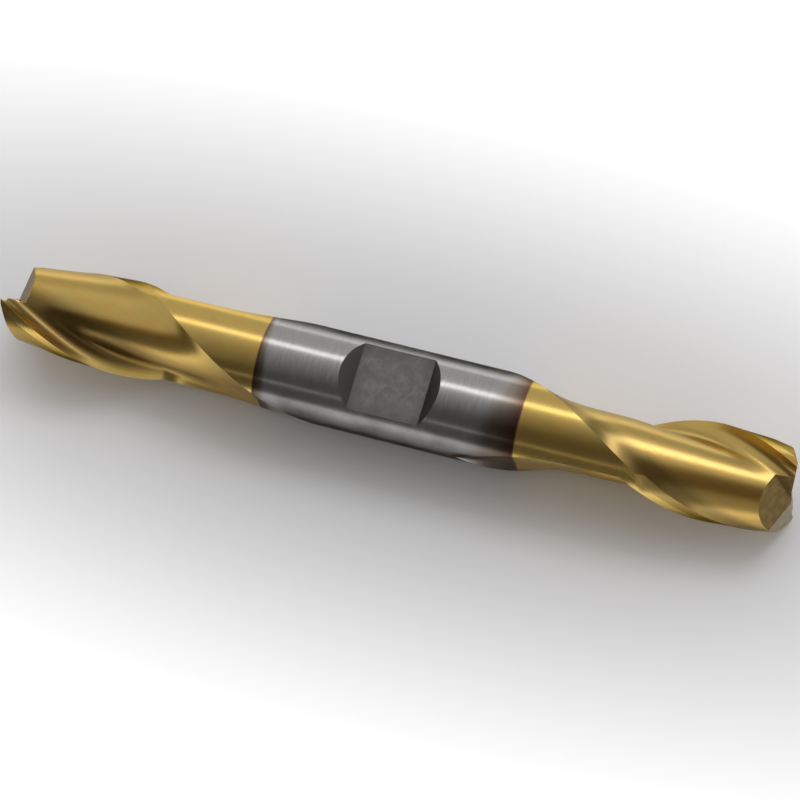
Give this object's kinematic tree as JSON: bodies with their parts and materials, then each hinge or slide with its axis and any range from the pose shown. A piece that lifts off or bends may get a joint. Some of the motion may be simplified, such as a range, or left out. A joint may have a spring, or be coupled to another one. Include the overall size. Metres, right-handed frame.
{
  "type": "double end end mill",
  "caption": "Solid round end mill with helical fluted cutting teeth at both ends and a clamping flat in the middle of its plain shank.",
  "frame": {"origin": "middle of the tool's length on its axis", "axes": "+X along the tool's axis, +Z along the outward normal of the shank flat"},
  "size_m": [0.0794, 0.0096, 0.0096],
  "materials": {
    "end_mill": "ground high speed steel, gold nitride coating on both cutting ends"
  },
  "bodies": {
    "root": {"end_mill": "end_mill"}
  },
  "joints": []
}
